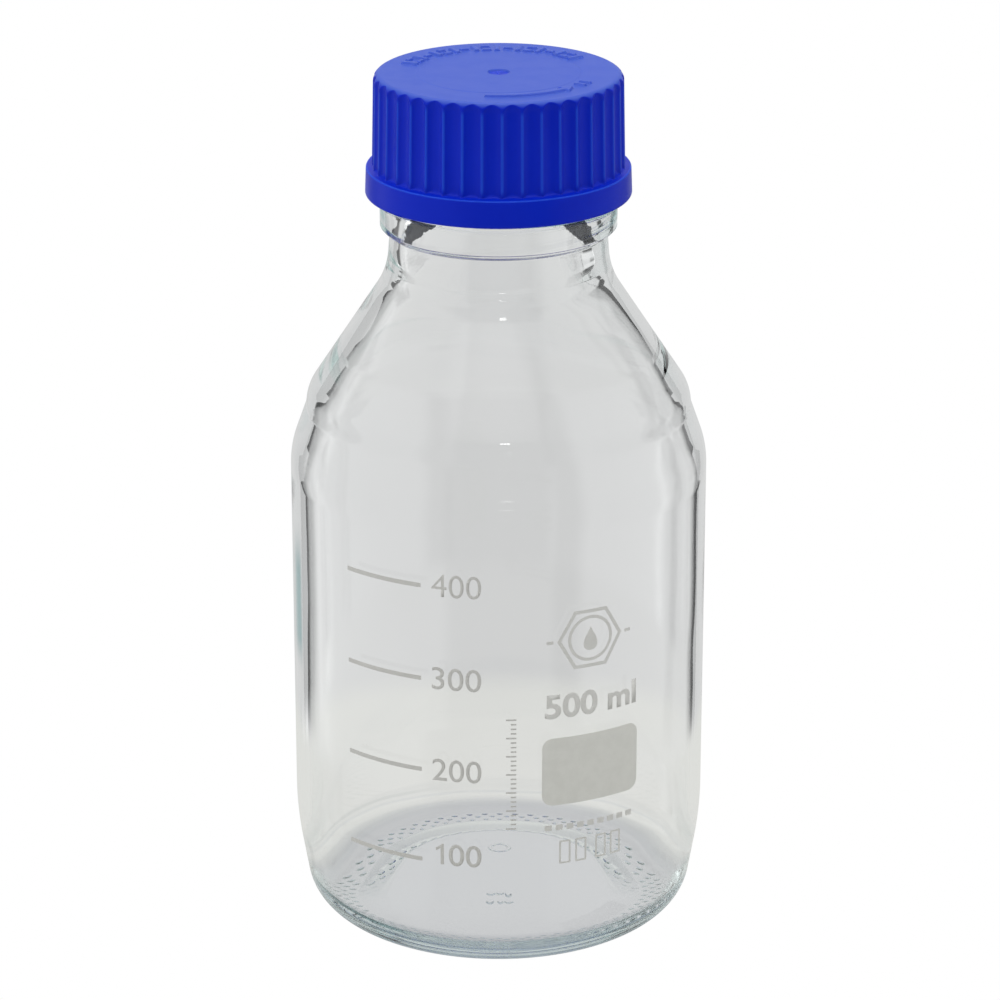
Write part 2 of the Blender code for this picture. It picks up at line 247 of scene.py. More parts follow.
def camera_axes(n):
    """Level directions to the camera's right and straight away from it."""
    right = n.new("ShaderNodeVectorTransform", vector_type="VECTOR", convert_from="CAMERA", convert_to="WORLD")
    right.inputs[0].default_value = (1, 0, 0)
    beyond = n.new("ShaderNodeVectorMath", operation="CROSS_PRODUCT")
    beyond.inputs[0].default_value = (0, 0, 1)
    n.tree.links.new(right.outputs[0], beyond.inputs[1])
    return right, beyond


def glass_material():
    made, n, out, where = new_material("borosilicate_glass")
    shader = n.new("ShaderNodeBsdfPrincipled")
    # long paths near the edges look sea green: at the left of the body, the ends of the bead and the heel
    split = n.new("ShaderNodeSeparateXYZ")
    n.tree.links.new(where, split.inputs[0])
    side, tall = n.math("MULTIPLY", split.outputs["X"], 1 / MM), n.math("MULTIPLY", split.outputs["Z"], 1 / MM)
    facing = n.new("ShaderNodeLayerWeight")
    facing.inputs["Blend"].default_value = 0.5
    grazing = n.step(facing.outputs["Facing"], 0.62, 0.80)
    from_outside = n.math("SUBTRACT", 1.0, n.new("ShaderNodeNewGeometry").outputs["Backfacing"])
    patch = n.math("MULTIPLY", n.math("MULTIPLY", n.step(tall, 55.0, 64.0), n.step(tall, 78.0, 90.0, 1.0, 0.0)), n.step(side, -41.0, -40.2, 1.0, 0.0))
    patch = n.math("MULTIPLY", n.math("MULTIPLY", patch, n.step(side, -42.5, -41.5, 0.3, 1.0)), from_outside)
    finish = n.math("MULTIPLY", n.step(tall, 150.5, 152.5), n.step(tall, 155.0, 156.0, 1.0, 0.0))
    heel = n.math("MULTIPLY", n.step(tall, 9.0, 16.0, 1.0, 0.0), 0.24)
    crests = n.step(tall, 0.04, 0.15, 0.75, 0.0)
    green = n.math("MULTIPLY", grazing, n.math("ADD", finish, heel), clamp=True)
    clear = n.mix(crests, (0.998, 0.999, 0.999, 1), (0.50, 0.64, 0.80, 1))
    # painted reflection: a thin blue-purple line along the seam under the bead, on faces met from outside
    seam_reflection = n.math("MULTIPLY", n.step(tall, 149.12, 149.20), n.step(tall, 149.34, 149.44, 1.0, 0.0))
    clear = n.mix(n.math("MULTIPLY", seam_reflection, from_outside), clear, (0.16, 0.14, 0.34, 1))
    # painted reflections and shade: the rounded heel gathers the room in bands, painted here as light and dark tints
    # by height round its outside
    deep = n.math("MULTIPLY", split.outputs["Y"], 1 / MM)
    out_r = n.math("SQRT", n.math("ADD", n.math("MULTIPLY", side, side), n.math("MULTIPLY", deep, deep)))
    from_bend = n.math("SQRT", n.math("ADD", n.math("POWER", n.math("SUBTRACT", out_r, 32.1), 2.0), n.math("POWER", n.math("SUBTRACT", tall, 8.92), 2.0)))
    on_heel = n.math("MULTIPLY", n.step(from_bend, 8.25, 8.5), n.step(tall, 8.6, 9.6, 1.0, 0.0))
    on_heel = n.math("MULTIPLY", on_heel, n.step(out_r, 35.4, 36.6))
    # mostly for rays coming in from outside, little for those leaving through the far side
    on_heel = n.math("MULTIPLY", on_heel, n.math("MULTIPLY_ADD", from_outside, 0.75, 0.25))
    # seen from the camera's side the bands climb a little towards both flanks
    right, _ = camera_axes(n)
    spot = n.new("ShaderNodeVectorMath", operation="DOT_PRODUCT")
    n.tree.links.new(n.new("ShaderNodeNewGeometry").outputs["Position"], spot.inputs[0])
    n.tree.links.new(right.outputs[0], spot.inputs[1])
    lateral = n.math("MULTIPLY", spot.outputs["Value"], 1 / MM)
    climb = n.math("MULTIPLY", n.math("MULTIPLY", lateral, lateral), 2.2 / 1600.0)
    jitter = n.math("SUBTRACT", n.noise(where, 34.0, 2.0), 0.5)
    level = n.math("ADD", n.math("SUBTRACT", tall, climb), n.math("MULTIPLY", jitter, 0.9))
    bands = n.new("ShaderNodeValToRGB")
    n.put(bands.inputs[0], n.math("MULTIPLY", level, 0.1))
    ramp = bands.color_ramp
    ramp.interpolation = "EASE"
    ramp.elements[0].position, ramp.elements[0].color = 0.28, (0.52, 0.58, 0.63, 1)
    ramp.elements[1].position, ramp.elements[1].color = 0.37, (0.97, 0.99, 0.99, 1)
    for at, tone in (
        (0.475, (0.97, 0.99, 0.99, 1)),
        (0.525, (0.34, 0.42, 0.56, 1)),
        (0.575, (0.72, 0.75, 0.79, 1)),
        (0.66, (0.62, 0.64, 0.68, 1)),
        (0.79, (0.68, 0.70, 0.73, 1)),
        (0.88, (0.86, 0.87, 0.89, 1)),
    ):
        ramp.elements.new(at).color = tone
    # a dark painted streak among the heel bands, left of the middle
    painted_streak = n.math("MULTIPLY", n.step(level, 6.15, 6.4), n.step(level, 6.85, 7.15, 1.0, 0.0))
    painted_streak = n.math("MULTIPLY", painted_streak, n.step(lateral, -23.0, -13.0, 1.0, 0.0))
    banded = n.mix(n.math("MULTIPLY", painted_streak, 0.9), bands.outputs[0], (0.06, 0.15, 0.17, 1))
    clear = n.mix(on_heel, clear, banded)
    # painted shade: the bead shows the dark ends of the sweep as two ragged near-black patches, left and right of the
    # middle
    aside = n.math("ABSOLUTE", lateral)
    below = n.math("SUBTRACT", 154.5, tall)
    ragged = n.math("MULTIPLY", n.math("SUBTRACT", n.noise(where, 420.0, 2.0), 0.5), 3.4)
    apart = n.math("ADD", n.math("ABSOLUTE", n.math("SUBTRACT", aside, n.math("MULTIPLY_ADD", below, 0.70, 15.0))), ragged)
    dark = n.math("SUBTRACT", apart, n.math("MULTIPLY_ADD", below, -0.22, 2.2))
    dark = n.math("MULTIPLY", n.step(dark, -0.12, 0.12, 1.0, 0.0), n.math("MULTIPLY", n.step(tall, 149.45, 149.6), n.step(out_r, 23.2, 23.5)))
    clear = n.mix(n.math("MULTIPLY", dark, from_outside), clear, (0.011, 0.012, 0.014, 1))
    tinted = n.mix(green, clear, (0.30, 0.62, 0.62, 1))
    n.put(shader.inputs["Base Color"], n.mix(patch, tinted, (0.13, 0.33, 0.34, 1)))
    shader.inputs["IOR"].default_value = 1.474
    shader.inputs["Transmission Weight"].default_value = 1.0
    haze = n.noise(where, 90.0, 4.0)
    n.put(shader.inputs["Roughness"], n.step(haze, 0.35, 0.8, 0.0, 0.012))
    n.tree.links.new(shader.outputs[0], out.inputs["Surface"])
    body = n.new("ShaderNodeVolumeAbsorption")
    body.inputs["Color"].default_value = (0.12, 0.62, 0.60, 1)
    body.inputs["Density"].default_value = 3.0
    n.tree.links.new(body.outputs[0], out.inputs["Volume"])
    return made


def plastic_material(name, deep, bright, painted_top_colour, rough=0.36, grain=0.05, shine=0.10, ridges=0, painted_highlight=(0.0, 0.0, 0.0)):
    made, n, out, where = new_material(name)
    shader = n.new("ShaderNodeBsdfPrincipled")
    cloud = n.noise(where, 60.0, 5.0, 0.6)
    fine = n.noise(where, 2600.0, 2.0, 0.5)
    facing_up = n.new("ShaderNodeSeparateXYZ")
    n.tree.links.new(n.new("ShaderNodeNewGeometry").outputs["Normal"], facing_up.inputs[0])
    split = n.new("ShaderNodeSeparateXYZ")
    n.tree.links.new(where, split.inputs[0])
    x, y = n.math("MULTIPLY", split.outputs["X"], 1 / MM), n.math("MULTIPLY", split.outputs["Y"], 1 / MM)
    tall = n.math("MULTIPLY", split.outputs["Z"], 1 / MM)
    # painted light: faces of the top that look upward get a paler tint, as if lit from above; slopes and edges keep
    # the deep blue
    painted_top_light = n.math("MULTIPLY", n.step(facing_up.outputs["Z"], 0.25, 0.93), n.step(tall, 174.0, 177.0))
    moulded = n.mix(n.step(cloud, 0.3, 0.7), (*deep, 1), (*bright, 1))
    if ridges:
        # painted highlights: a lighter blue on the crests between the flutes and on the top edge of the band, where
        # the light catches them
        spoke = n.math("MULTIPLY", n.math("SUBTRACT", n.math("ARCTAN2", y, x), math.radians(1.6)), ridges / TAU)
        off = n.math("ABSOLUTE", n.math("SUBTRACT", spoke, n.math("ROUND", spoke)))
        crest = n.math("MULTIPLY", n.step(off, 0.035, 0.10, 1.0, 0.0), n.step(tall, 161.9, 163.2))
        crest = n.math("MULTIPLY", crest, n.step(tall, 177.8, 179.2, 1.0, 0.0))
        out_r = n.math("SQRT", n.math("ADD", n.math("MULTIPLY", x, x), n.math("MULTIPLY", y, y)))
        edge = n.math("MULTIPLY", n.step(out_r, FLANGE_R - 0.62, FLANGE_R - 0.42), n.step(tall, 161.05, 161.25))
        moulded = n.mix(n.math("MULTIPLY", n.math("ADD", crest, edge, clamp=True), 0.7), moulded, (*painted_highlight, 1))
        # the sunk gate mark in the middle of the top stays in shade
        painted_top_light = n.math("MULTIPLY", painted_top_light, n.step(out_r, 1.7, 2.2, 0.35, 1.0))
    n.put(shader.inputs["Base Color"], n.mix(painted_top_light, moulded, (*painted_top_colour, 1)))
    n.put(shader.inputs["Roughness"], n.step(n.noise(where, 220.0, 4.0), 0.3, 0.75, rough - 0.02, rough + 0.03))
    shader.inputs["IOR"].default_value = 1.49
    shader.inputs["Specular IOR Level"].default_value = shine
    shader.inputs["Subsurface Weight"].default_value = 0.12
    shader.inputs["Subsurface Radius"].default_value = (0.2, 0.4, 1.0)
    shader.inputs["Subsurface Scale"].default_value = 0.0006
    n.put(shader.inputs["Normal"], n.bump(fine, grain, 0.00006))
    n.tree.links.new(shader.outputs[0], out.inputs["Surface"])
    return made


def enamel_material(name, light, dark):
    made, n, out, where = new_material(name)
    shader = n.new("ShaderNodeBsdfPrincipled")
    mottle = n.noise(where, 420.0, 5.0, 0.65)
    speck = n.noise(where, 5200.0, 2.0, 0.5)
    colour = n.mix(n.step(mottle, 0.32, 0.68), (*dark, 1), (*light, 1))
    n.put(shader.inputs["Base Color"], n.mix(n.step(speck, 0.62, 0.8, 0.0, 0.35), colour, (*[c * 0.82 for c in light], 1)))
    n.put(shader.inputs["Roughness"], n.step(mottle, 0.3, 0.7, 0.42, 0.58))
    n.put(shader.inputs["Normal"], n.bump(speck, 0.12, 0.00003))
    n.tree.links.new(shader.outputs[0], out.inputs["Surface"])
    return made


GLASS = glass_material()
CAP_BLUE = plastic_material("cap_polypropylene", (0.0004, 0.0135, 0.45), (0.0008, 0.0165, 0.48), (0.036, 0.078, 0.425), ridges=40, painted_highlight=(0.012, 0.068, 0.58))
RING_BLUE = plastic_material("ring_polypropylene", (0.002, 0.030, 0.56), (0.003, 0.040, 0.62), (0.002, 0.075, 0.66), rough=0.4)
ENAMEL = enamel_material("fired_enamel", (0.645, 0.65, 0.61), (0.61, 0.615, 0.575))
# painted shade: a darker copy of the enamel for the scale, whose lines and numerals on the left get more light from
# the left softbox
ENAMEL_SHADED = enamel_material("fired_enamel_shaded", (0.52, 0.52, 0.495), (0.495, 0.495, 0.47))
ENAMEL_MARKS = enamel_material("fired_enamel_marks", (0.61, 0.612, 0.585), (0.58, 0.582, 0.556))

# --------------------------------------------------------------- glass bottle
SEG, FINE = 240, 720
outer_low = rounded(
    [
        (0.0, 1.95),
        (14.0, 1.8, 60.0, 4),
        (22.6, 1.5, 9.0, 6),
        (28.9, STAND, 5.0, 7),
        (39.45, STAND, 8.7, 26),
        (BODY_R, 20.9, 70.0, 8),
        (BODY_R, 101.6, 19.0, 10),
        (39.66, 110.8, 2.2, 6),
        (39.28, 114.0, 8.0, 10),
        (22.75, 139.2, 17.0, 12),
        (22.1, 147.9, 0.5, 6),
        (23.55, 148.7, 0.5, 6),
        (23.9, 149.22, 0.05, 3),
        (24.08, 149.30, 0.05, 3),
        (24.12, 154.5, 1.2, 6),
        (20.35, 154.95, 0.5, 3),
        (20.35, 169.2, 0.5, 3),
        (18.45, 169.85, 0.4, 3),
        (18.45, 172.35, 0.3, 3),
        (19.0, 173.0, 0.3, 3),
        (19.0, GLASS_TOP, 1.1, 7),
        (16.0, GLASS_TOP),
    ]
)
inner_high = rounded(
    [
        (16.5, GLASS_TOP),
        (15.0, GLASS_TOP, 1.1, 7),
        (15.5, 168.0, 6.0, 4),
        (18.2, 157.0, 8.0, 6),
        (19.0, 138.2, 6.0, 10),
        (30.9, 121.4, 14.0, 10),
        (36.4, 110.8, 25.0, 10),
        (40.12, 99.0, 22.0, 14),
        (40.12, 4.6, 4.4, 16),
        (14.0, 5.2, 60.0, 4),
        (0.0, 5.4),
    ]
)[1:]


def outer_step(r, z):
    if z < 3.2 and 28.6 < r < 36.6:
        return 0.26
    if z < 3.2 and 2.4 < r < 16.8:
        return 0.36
    if 156.4 < z < 168.6 and r < 21:
        return 0.21
    if z < 6 or 105 < z < 118 or z > 144:
        return 1.2
    return 3.4


outer = resample(outer_low, outer_step)
inner = resample(inner_high, lambda r, z: 2.0 if 100 < z < 150 else 3.2)
outer_n = normals_of(outer)
inner_n = normals_of(inner)

BUMP_ROWS = [(29.9, 0.0), (31.4, 0.5), (32.9, 0.0), (34.3, 0.5)]
BUMPS = 60
bump_rows = []
for bump_r, phase in BUMP_ROWS:
    at = np.argmin(np.abs(outer[:, 0] - bump_r) + (outer[:, 1] > 3.0) * 100)
    bump_rows.append((outer[at, 0], outer[at, 1], phase))


def bump_height(angle, r, z):
    total = np.zeros_like(angle)
    if z > 3.4 or not 28.6 < r < 36.8:
        return total
    for bump_r, bump_z, phase in bump_rows:
        off = math.hypot(r - bump_r, z - bump_z)
        if off > 0.8:
            continue
        turn = angle / TAU * BUMPS - phase
        along = (turn - np.round(turn)) / BUMPS * TAU * bump_r
        rho = np.sqrt(along**2 + off**2) / 0.74
        tall = STAND if bump_r < 33.5 else 0.1 * STAND
        total += tall * np.clip(1 - rho**2, 0, 1) ** 1.2
    return total


def foot_mark(angle, r, z):
    """Mould marks under the base: two rows of plain pips near the front, a small ring near the back."""
    total = np.zeros_like(angle)
    if z > 3.2 or not 2.4 < r < 17.0:
        return total
    x, y = r * np.cos(angle), r * np.sin(angle)
    for bx, by, w, h in (
        (-1.75, -4.4, 0.75, 0.45),
        (-1.9, -7.6, 0.6, 0.7),
        (0.1, -4.3, 0.7, 0.4),
        (0.2, -7.7, 0.45, 0.5),
        (1.8, -4.8, 0.5, 0.8),
        (1.9, -7.7, 0.75, 0.5),
    ):
        total += 0.30 * smooth(1.5 - np.sqrt(((x - bx) / w) ** 2 + ((y - by) / h) ** 2))
    rim = np.sqrt((x / 2.1) ** 2 + ((y - 13.2) / 1.8) ** 2)
    total += 0.22 * smooth(1 - np.abs(rim - 1.0) / 0.28)
    return total


def thread_height(angle, z, z0, first, last, crest, root_w, crest_w, fade=26 / 360):
    total = np.zeros_like(angle)
    for k in range(-1, 4):
        turn = angle / TAU + k
        inside = (turn > first) & (turn < last)
        if not inside.any():
            continue
        off = np.abs(z - (z0 + PITCH * turn))
        ridge = smooth((root_w / 2 + 0.12 - off) / ((root_w - crest_w) / 2 + 0.24))
        ends = smooth(np.minimum((turn - first) / fade, (last - turn) / fade))
        total = np.maximum(total, crest * ridge * ends * inside)
    return total


def outer_shape(angle, r, z):
    d_normal = bump_height(angle, r, z) + foot_mark(angle, r, z)
    d_radial = np.zeros_like(angle)
    if 156.3 < z < 168.9 and r < 21:
        d_radial = thread_height(angle, z, THREAD_Z0, 0.0, 1.6, 1.95, 2.0, 1.0)
    return d_normal, d_radial


def ripple(angle, z, seed, wide, tall):
    """Slow waves of blown glass, periodic round the axis."""
    out = np.empty_like(angle)
    for i, a in enumerate(angle):
        out[i] = noise.noise(
            Vector((math.cos(a) * wide + seed, math.sin(a) * wide - seed, z / tall + seed))
        )
    return out


def inner_shape(angle, r, z):
    share = smooth(np.array((z - 3.0) / 14.0)) * smooth(np.array((151.0 - z) / 26.0))
    lean = 0.28 * np.cos(angle) * share * float(smooth(np.array((126.0 - z) / 22.0)))
    lean = lean - 0.85 * np.cos(angle) * float(smooth(np.array((z - 124.0) / 12.0)) * smooth(np.array((153.0 - z) / 9.0)))
    high = float(smooth(np.array((z - 92.0) / 16.0)) * smooth(np.array((152.0 - z) / 14.0)))
    low = float(smooth(np.array((z - 8.0) / 10.0)) * smooth(np.array((110.0 - z) / 14.0)))
    wave = ripple(angle, z, 3.7, 1.7, 26.0) * (0.20 * high + 0.07 * low)
    wave = wave + ripple(angle, z, 9.1, 3.6, 9.0) * (0.05 * high + 0.02 * low)
    chill = 0.010 * high * math.sin(z * 2.9) + 0.006 * high * math.sin(z * 5.3 + 1.0)
    return -(wave + chill), lean


rings = []
for (r, z), normal in zip(outer, outer_n):
    if r < 1e-4:
        rings.append(np.array([[0.0, 0.0, z]]))
        continue
    fine = z < 3.4 and 28.6 < r < 36.8
    rings.append(ring_points(r, z, FINE if fine else SEG, outer_shape, normal))
for (r, z), normal in zip(inner, inner_n):
    if r < 1e-4:
        rings.append(np.array([[0.0, 0.0, z]]))
        continue
    rings.append(ring_points(r, z, SEG, inner_shape if z < 152 else None, normal))
glass = add("bottle_glass", make_mesh("bottle_glass", rings), "bottle", GLASS, "glass", "glass_bottle")

# -------------------------------------------------------------- enamel marks
body_rows = (outer[:, 1] > 8.0) & (outer[:, 1] < 100.0) & (outer[:, 0] > 38.0)
row_z, row_r = outer[body_rows, 1], outer[body_rows, 0]


def outer_r(z):
    return float(np.interp(z, row_z, row_r))


FILM_GAP, FILM = 0.02, 0.035


def flat_shape(outlines):
    """A flat bmesh 1 unit thick (z 0 to 1) from closed outlines in mm, each a list of (x, y)."""
    bm = bmesh.new()
    for outline in outlines:
        if isinstance(outline, tuple):      # (outer ring, inner ring) of equal length
            outside, inside = outline
            rows = [
                [bm.verts.new((x, y, h)) for x, y in ring]
                for ring, h in ((outside, 0.0), (outside, 1.0), (inside, 1.0), (inside, 0.0))
            ]
            n = len(outside)
            for a, b in zip(rows, rows[1:] + rows[:1]):
                for k in range(n):
                    bm.faces.new((a[k], a[(k + 1) % n], b[(k + 1) % n], b[k]))
            continue
        low = [bm.verts.new((x, y, 0.0)) for x, y in outline]
        high = [bm.verts.new((x, y, 1.0)) for x, y in outline]
        n = len(outline)
        bm.faces.new(high)
        bm.faces.new(low[::-1])
        for k in range(n):
            bm.faces.new((low[k], low[(k + 1) % n], high[(k + 1) % n], high[k]))
    return bm


def wrapped(name, bm, azimuth, height, cut=0.55):
    """Wraps a flat shape (x to the right, y up, in mm) round the body at an azimuth from the front, in degrees."""
    xs = [v.co.x for v in bm.verts]
    x = math.floor(min(xs) / cut) * cut + cut
    while x < max(xs):
        bmesh.ops.bisect_plane(
            bm, geom=bm.verts[:] + bm.edges[:] + bm.faces[:], plane_co=(x, 0, 0), plane_no=(1, 0, 0)
        )
        x += cut
    bmesh.ops.recalc_face_normals(bm, faces=bm.faces)
    for v in bm.verts:
        z = height + v.co.y
        angle = math.radians(azimuth - 90.0) + v.co.x / BODY_R
        r = outer_r(z) + FILM_GAP + FILM * v.co.z
        v.co = (r * math.cos(angle) * MM, r * math.sin(angle) * MM, z * MM)
    mesh = bpy.data.meshes.new(name)
    bm.to_mesh(mesh)
    bm.free()
    return mesh


def rectangle(x0, y0, x1, y1, radius=0.0, steps=6):
    if radius <= 0:
        return [(x0, y0), (x1, y0), (x1, y1), (x0, y1)]
    found = []
    for cx, cy, start in (
        (x1 - radius, y0 + radius, -90),
        (x1 - radius, y1 - radius, 0),
        (x0 + radius, y1 - radius, 90),
        (x0 + radius, y0 + radius, 180),
    ):
        for k in range(steps + 1):
            a = math.radians(start + 90 * k / steps)
            found.append((cx + radius * math.cos(a), cy + radius * math.sin(a)))
    return found


def arc_mm(degrees):
    return math.radians(degrees) * BODY_R


def text_shape(body, width, height, bolder=0.0):
    """Outline letters of the built-in font, fitted to a width and height in mm, centred."""
    curve = bpy.data.curves.new("glyphs", "FONT")
    curve.body = body
    curve.resolution_u = 8
    curve.offset = bolder
    holder = bpy.data.objects.new("glyphs", curve)
    bpy.context.scene.collection.objects.link(holder)
    bpy.context.view_layer.update()
    evaluated = holder.evaluated_get(bpy.context.evaluated_depsgraph_get())
    mesh = bpy.data.meshes.new_from_object(evaluated)
    bpy.data.objects.remove(holder)
    bm = bmesh.new()
    bm.from_mesh(mesh)
    bmesh.ops.remove_doubles(bm, verts=bm.verts, dist=1e-6)
    xs = [v.co.x for v in bm.verts]
    ys = [v.co.y for v in bm.verts]
    sx, sy = width / (max(xs) - min(xs)), height / (max(ys) - min(ys))
    cx, cy = (max(xs) + min(xs)) / 2, (max(ys) + min(ys)) / 2
    for v in bm.verts:
        v.co = ((v.co.x - cx) * sx, (v.co.y - cy) * sy, 1.0)
    top = bm.faces[:]
    made = bmesh.ops.extrude_face_region(bm, geom=top)
    for v in [g for g in made["geom"] if isinstance(g, bmesh.types.BMVert)]:
        v.co.z = 0.0
    bmesh.ops.recalc_face_normals(bm, faces=bm.faces)
    return bm


def box_mid_z(node):
    lo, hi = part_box(node)
    return (lo.z + hi.z) / 2 / MM


for volume in (100, 200, 300, 400):
    level = box_mid_z(f"scale_line_{volume}")
    first, last = -45.0, -21.2
    middle = (first + last) / 2
    half = arc_mm(last - first) / 2
    line = wrapped(f"enamel_line_{volume}", flat_shape([rectangle(-half, -0.46, half, 0.46, 0.12, 3)]), middle, level)
    add(f"enamel_line_{volume}", line, "bottle", ENAMEL_SHADED, "enamel", f"scale_line_{volume}")
    if volume == 100:
        digits = text_shape("00", 6.75, 4.85, bolder=0.008)
        for v in digits.verts:
            v.co.x += (9.45 - 6.75) / 2
        one = [(-3.05, -2.3), (-3.05, 2.38), (-3.42, 2.38), (-3.75, 2.0), (-4.2, 1.65), (-4.76, 1.38), (-4.76, 0.74), (-4.2, 0.98), (-3.74, 1.3), (-3.74, -2.3)]
        low = [digits.verts.new((x, y, 0.0)) for x, y in one]
        high = [digits.verts.new((x, y, 1.0)) for x, y in one]
        digits.faces.new(high)
        digits.faces.new(low[::-1])
        for k in range(len(one)):
            m = (k + 1) % len(one)
            digits.faces.new((low[k], low[m], high[m], high[k]))
        bmesh.ops.recalc_face_normals(digits, faces=digits.faces)
    else:
        digits = text_shape(str(volume), 10.15, 4.85, bolder=0.002 if volume != 400 else -0.004)
    numeral = wrapped(f"enamel_numeral_{volume}", digits, -11.4 if volume != 100 else -10.95, level + (0.38 if volume != 100 else 1.65))
    add(f"enamel_numeral_{volume}", numeral, "bottle", ENAMEL_SHADED, "enamel")

panel_lo, panel_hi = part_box("writing_panel")
panel_mid = (11.75 + 40.9) / 2
panel_half = arc_mm(40.9 - 11.75) / 2
panel_h = (panel_hi.z - panel_lo.z) / MM / 2
panel = wrapped(
    "enamel_writing_panel",
    flat_shape([rectangle(-panel_half, -panel_h, panel_half, panel_h, 2.3, 8)]),
    panel_mid,
    (panel_lo.z + panel_hi.z) / 2 / MM,
)
add("enamel_writing_panel", panel, "bottle", ENAMEL, "enamel", "writing_panel")

capacity = wrapped("enamel_capacity", text_shape("500 ml", 20.9, 5.35, bolder=0.028), 26.4, 60.3)
add("enamel_capacity", capacity, "bottle", ENAMEL_MARKS, "enamel")


def ngon(radius, count, turn=0.0, squash=1.0):
    return [
        (radius * math.cos(TAU * k / count + turn), squash * radius * math.sin(TAU * k / count + turn))
        for k in range(count)
    ]


def drop(width, height, n=40):
    """A liquid drop outline with its point up."""
    found = []
    for k in range(n):
        t = TAU * k / n
        x = math.sin(t) * (math.sin(t / 2) ** 1.6)
        found.append((width * 0.62 * x, height * (0.5 * math.cos(t)) + 0.0))
    return found


badge = flat_shape(
    [
        (ngon(7.2, 6), ngon(6.35, 6)),
        (ngon(4.9, 48), ngon(4.25, 48)),
        drop(3.6, 5.2),
        rectangle(-9.4, -0.35, -8.0, 0.35, 0.2, 3),
        rectangle(8.0, -0.35, 9.4, 0.35, 0.2, 3),
    ]
)
add("enamel_badge", wrapped("enamel_badge", badge, 25.4, 74.2), "bottle", ENAMEL_MARKS, "enamel")

caption = flat_shape([rectangle(-10.3 + 2.3 * k, -0.62, -10.3 + 2.3 * k + w, 0.62, 0.2, 3) for k, w in enumerate((1.5, 1.5, 1.5, 1.5, 1.5, 1.5, 1.5, 1.5, 1.5))])
add("enamel_caption_bars", wrapped("enamel_caption_bars", caption, 26.3, 33.6), "bottle", ENAMEL_MARKS, "enamel")

tally = []
for k, x in enumerate((-7.1, -3.6, 0.9, 4.4)):
    tally.append((rectangle(x, -2.6, x + 2.5, 2.6, 0.25, 2), rectangle(x + 0.42, -2.18, x + 2.08, 2.18, 0.1, 2)))
add("enamel_blank_cells", wrapped("enamel_blank_cells", flat_shape(tally), 26.1, 28.0), "bottle", ENAMEL_MARKS, "enamel")

ticks = []
y = -12.0
for k in range(25):
    wide = 2.1 if k % 4 == 0 else 1.15
    ticks.append(rectangle(1.1 - wide, y + k * 1.0 - 0.17, 1.1, y + k * 1.0 + 0.17, 0.08, 2))
add("enamel_side_ticks", wrapped("enamel_side_ticks", flat_shape(ticks), 3.3, 46.0), "bottle", ENAMEL_SHADED, "enamel")

# --------------------------------------------------------------- pouring ring
ring_path = rounded(
    [
        (15.15, GLASS_TOP + 0.35, 0.15, 2),
        (19.35, GLASS_TOP + 0.35, 0.15, 2),
        (19.35, 172.75, 0.2, 3),
        (18.8, 172.3, 0.2, 3),
        (18.8, 171.0, 0.2, 3),
        (19.2, RING_LOW, 0.15, 2),
        (20.5, RING_LOW, 0.3, 4),
        (20.5, RING_TOP - 0.35, 0.5, 6),
        (19.0, RING_TOP - 0.12, 0.5, 4),
        (17.2, RING_TOP - 0.10, 0.6, 4),
        (16.1, RING_TOP, 0.25, 4),
        (15.1, RING_TOP - 0.45, 0.2, 4),
    ]
)
ring_rows = resample(ring_path + [ring_path[0]], lambda r, z: 0.8)[:-1]
rings = [ring_points(r, z, 180) for r, z in ring_rows]
pour = add("pour_ring", make_mesh("pour_ring", rings, closed=True), "ring", RING_BLUE, "ring_plastic", "pouring_ring")

# ------------------------------------------------------------------ screw cap
FLUTES = 40
PER_FLUTE = 14
CAP_SEG = FLUTES * PER_FLUTE
FLUTE_DEPTH = 0.72
FLUTE_HALF = 0.445          # of the flute pitch
FLANGE_TOP = 161.4
wall_high, wall_low = 25.18, 25.56
EDGE = 1.5


def wall_r(z):
    return wall_low + (wall_high - wall_low) * (z - FLANGE_TOP) / (CAP_TOP - 1.6 - FLANGE_TOP)


def flute_depth(angle, z):
    t = (angle - math.radians(1.6)) / TAU * FLUTES - 0.5
    t = np.abs(t - np.round(t))                   # 0 in the middle of a flute
    pitch = TAU * 25.4 / FLUTES
    half = FLUTE_HALF * pitch
    top_mid = CAP_TOP - 0.75 - half
    up = max(0.0, (z - top_mid) / half)
    u = np.sqrt((t / FLUTE_HALF) ** 2 + up**2)
    hollow = np.clip(1 - u**2, 0, None)
    hollow = np.where(hollow > 0, np.sqrt(hollow * (2 - hollow)) * 0.35 + hollow * 0.65, 0.0)
    return FLUTE_DEPTH * hollow


